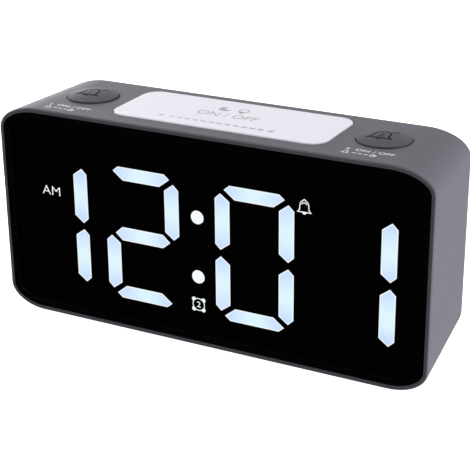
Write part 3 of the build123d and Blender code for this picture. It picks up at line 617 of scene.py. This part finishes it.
for name, key, figure, x, y in LABELS:
    start = x - LABEL_W / 2
    lower = y - LABEL_STEP
    shapes = [letters(f"{figure}  ON / OFF", LABEL_H, (x, y), LABEL_W, LABEL_BOLD)]
    shapes += bell((start + LABEL_BELL_X, lower), LABEL_BELL_W, LABEL_BELL_H, LABEL_BELL_LINE)
    shapes += [level((start + dash, lower), LABEL_DASH_L, LABEL_DASH_W) for dash in LABEL_DASHES]
    shapes += clock_face((start + LABEL_CLOCK_X, lower), LABEL_CLOCK_R, LABEL_CLOCK_LINE)
    mark(name, shapes, above(key, CASE_TOP), "white_ink", "case", PRINT_THICK)

# Printed label of the bar: moon and bulb, ON / OFF, and a brightness scale from a small to a large sun.
BAR_TOP = box_mm("snooze_bar")[1].z
BAR_SIGNS_Y = 5.7
MOON_X, MOON_R = -5.2, 2.2
BULB_X, BULB_R, BULB_LINE = 1.6, 2.3, 0.5
BAR_TEXT, BAR_TEXT_H = (-1.2, -0.5), 3.8
SCALE_Y = -9.3
SMALL_SUN_X, SMALL_SUN_R, SMALL_SUN_LINE = -21.6, 1.0, 0.3
LARGE_SUN_X, LARGE_SUN_R, LARGE_SUN_LINE = 19.2, 1.3, 0.36
SCALE_START, SCALE_STEP, SCALE_DASHES = -17.6, 3.0, 12
DASH_L, DASH_W, DASH_GROWTH = 2.0, 0.5, 0.06
shapes = moon((MOON_X, BAR_SIGNS_Y), MOON_R) + bulb((BULB_X, BAR_SIGNS_Y), BULB_R, BULB_LINE)
shapes.append(letters("ON / OFF", BAR_TEXT_H, BAR_TEXT))
shapes += sun((SMALL_SUN_X, SCALE_Y), SMALL_SUN_R, SMALL_SUN_LINE)
shapes += sun((LARGE_SUN_X, SCALE_Y), LARGE_SUN_R, LARGE_SUN_LINE)
for k in range(SCALE_DASHES):
    dash = (SCALE_START + SCALE_STEP * k, SCALE_Y)
    shapes.append(level(dash, DASH_L, DASH_W + DASH_GROWTH * k))
mark("bar_label", shapes, above("snooze_bar", BAR_TOP), "grey_ink", "snooze_bar", PRINT_THICK)

# Signs on the back: on its keys and the hatch, over the inlet and round the hatch.
COVER_BACK = box_mm("rear_cover")[1].y
SIGN_THICK = 0.03
SIGN_L, SIGN_W = 3.0, 0.7
SMALL_W = 0.55
MIDDLE = (0.0, 0.0)
KEY_CLOCK_R, KEY_SUN_R, KEY_SIGN_LINE = 1.8, 2.1, 0.45
CELL_PLUS = (0.0, 6.6)
CELL_PLUS_L = 2.6
SUPPLY_Z, SUPPLY_L = 9.2, 4.8
SUPPLY_DASH_Z, SUPPLY_DASH_L, SUPPLY_STEP = 7.9, 1.1, 1.85
TURN_R, TURN_ARC, TURN_W = 17.0, (60, 118, 20), 0.6
TURN_HEAD = [(-9.6, 15.9), (-7.9, 13.4), (-6.6, 16.9)]


def behind(node, face):
    """Place on a face at depth face, from the middle of a node, seen from behind."""
    low, high = box_mm(node)
    middle = (low + high) / 2

    def lay(x, z, height):
        return (middle.x - x, face + height, middle.z + z)

    return lay


KEY_SIGNS = {
    "clock_set_key": clock_face(MIDDLE, KEY_CLOCK_R, KEY_SIGN_LINE),
    "minus_key": [level(MIDDLE, SIGN_L, SIGN_W)],
    "plus_key": [plus(MIDDLE, SIGN_L, SIGN_W)],
    "dimmer_key": sun(MIDDLE, KEY_SUN_R, KEY_SIGN_LINE),
}
for key, shapes in KEY_SIGNS.items():
    mark(f"{key}_sign", shapes, behind(key, box_mm(key)[1].y), "white_ink", key, SIGN_THICK)
shapes = [level((0.0, SUPPLY_Z), SUPPLY_L, SMALL_W)]
shapes += [level((k * SUPPLY_STEP, SUPPLY_DASH_Z), SUPPLY_DASH_L, SMALL_W) for k in (-1, 0, 1)]
mark("supply_sign", shapes, behind("power_inlet", COVER_BACK), "white_ink", "case", SIGN_THICK)
shapes = [strip(arc(MIDDLE, TURN_R, *TURN_ARC), TURN_W), filled(TURN_HEAD)]
mark("turn_sign", shapes, behind("cell_hatch", COVER_BACK), "white_ink", "case", SIGN_THICK)
shapes = [plus(CELL_PLUS, CELL_PLUS_L, SMALL_W)]
hatch_back = box_mm("cell_hatch")[1].y
mark("cell_sign", shapes, behind("cell_hatch", hatch_back), "white_ink", "cell_hatch", SIGN_THICK)

# Painted shade: a dark cross in the head of each case screw stands for the shade in its recess.
SCREW_LOW, SCREW_HIGH = box_mm("case_screws")
SCREW_HEAD_R = 2.6
screw_x = (SCREW_HIGH.x - SCREW_LOW.x) / 2 - SCREW_HEAD_R
screw_z = (SCREW_HIGH.z - SCREW_LOW.z) / 2 - SCREW_HEAD_R
spots = [(x, z) for x in (-screw_x, screw_x) for z in (-screw_z, screw_z)]
shapes = [plus(spot, SIGN_L, SIGN_W) for spot in spots]
mark("screw_crosses", shapes, behind("case_screws", SCREW_HIGH.y), "painted_groove_shade", "case", SIGN_THICK)

# Camera: its lens and sensor in millimetres, its place in metres, and its angles in degrees.
LENS = 105.2
SENSOR_W = 36.0
EYE = (0.20422, -0.3873, 0.21481)
CAMERA_TURN, CAMERA_TILT, CAMERA_ROLL = 27.697, -22.389, -0.523
camera_data = bpy.data.cameras.new("camera")
camera_data.sensor_width = SENSOR_W
camera_data.lens = LENS
camera = bpy.data.objects.new("camera", camera_data)
scene.collection.objects.link(camera)
turned = Matrix.Rotation(math.radians(CAMERA_TURN), 4, "Z")
tilted = Matrix.Rotation(math.radians(90 + CAMERA_TILT), 4, "X")
rolled = Matrix.Rotation(math.radians(CAMERA_ROLL), 4, "Z")
camera.matrix_world = Matrix.Translation(EYE) @ turned @ tilted @ rolled
scene.camera = camera

# Soft square lights: place, height of the point that they face, size in metres and power in watts.
LIGHTS = {
    "top_light": ((-0.15, 0.25, 1.4), 0.05, 1.4, 6.6),
    "side_light": ((1.4, 0.35, -0.3), 0.04, 1.0, 39.0),
    "back_light": ((-1.35, 1.05, 0.3), 0.05, 1.0, 5.6),
    "left_light": ((-1.5, 0.35, -0.25), 0.06, 1.0, 60.0),
    "low_light": ((-0.6, 1.4, -0.1), 0.07, 1.0, 2.4),
    "front_light": ((-0.5, -1.55, 0.5), 0.04, 0.8, 4.2),
}
for name, (spot, aim, size, power) in LIGHTS.items():
    data = bpy.data.lights.new(name, "AREA")
    data.size = size
    data.energy = power
    lamp = bpy.data.objects.new(name, data)
    scene.collection.objects.link(lamp)
    lamp.location = spot
    lamp.rotation_euler = (Vector((0, 0, aim)) - Vector(spot)).to_track_quat("-Z", "Y").to_euler()

# Sky: dark at the horizon and below it, even and pale from SKY_FULL upwards.
SKY_FULL = 0.25
SKY_PALE = (0.59, 0.59, 0.6)
world = bpy.data.worlds.new("world")
world.use_nodes = True
sky = world.node_tree
direction = sky.nodes.new("ShaderNodeTexCoord")
parts = sky.nodes.new("ShaderNodeSeparateXYZ")
sky.links.new(direction.outputs["Generated"], parts.inputs["Vector"])
shade = ramp(sky, parts.outputs["Z"], (0.0, 0.0, 0.0), SKY_PALE, 0.0, SKY_FULL)
sky.links.new(shade, sky.nodes["Background"].inputs["Color"])
scene.world = world

# Stage: a white floor and a white dome round it, in metres, which change no light on the object.
FLOOR, FLOOR_GLOW = 3.0, 0.96
DOME, DOME_GLOW = 2.8, 1.0
DOME_TILT = 88
RINGS, SPOKES = 8, 48
PAPER = (0.8, 0.8, 0.8, 1.0)
PAPER_ROUGH = 0.9
WHITE = (1.0, 1.0, 1.0, 1.0)


def stage_piece(name, verts, faces, glow):
    """Plain pale stage piece that only the camera sees."""
    paper = bpy.data.materials.new(name)
    paper.use_nodes = True
    sheet = paper.node_tree.nodes["Principled BSDF"]
    sheet.inputs["Base Color"].default_value = PAPER
    sheet.inputs["Roughness"].default_value = PAPER_ROUGH
    sheet.inputs["Emission Color"].default_value = WHITE
    sheet.inputs["Emission Strength"].default_value = glow
    mesh = bpy.data.meshes.new(name)
    mesh.from_pydata(verts, [], faces)
    mesh.materials.append(paper)
    piece = bpy.data.objects.new(name, mesh)
    scene.collection.objects.link(piece)
    piece.visible_diffuse = False
    piece.visible_glossy = False
    piece.visible_shadow = False


corners = [(-FLOOR, -FLOOR, 0), (FLOOR, -FLOOR, 0), (FLOOR, FLOOR, 0), (-FLOOR, FLOOR, 0)]
stage_piece("floor", corners, [(0, 1, 2, 3)], FLOOR_GLOW)
dome_verts = []
for ring in range(RINGS + 1):
    tilt = math.radians(DOME_TILT * ring / RINGS)
    for x, y in circle((0, 0), DOME * math.cos(tilt), SPOKES):
        dome_verts.append((x, y, DOME * math.sin(tilt)))
dome_faces = []
for ring in range(RINGS):
    for k in range(SPOKES):
        here = ring * SPOKES + k
        after = ring * SPOKES + (k + 1) % SPOKES
        dome_faces.append((here, here + SPOKES, after + SPOKES, after))
stage_piece("backdrop", dome_verts, dome_faces, DOME_GLOW)
scene.view_settings.view_transform = "Standard"
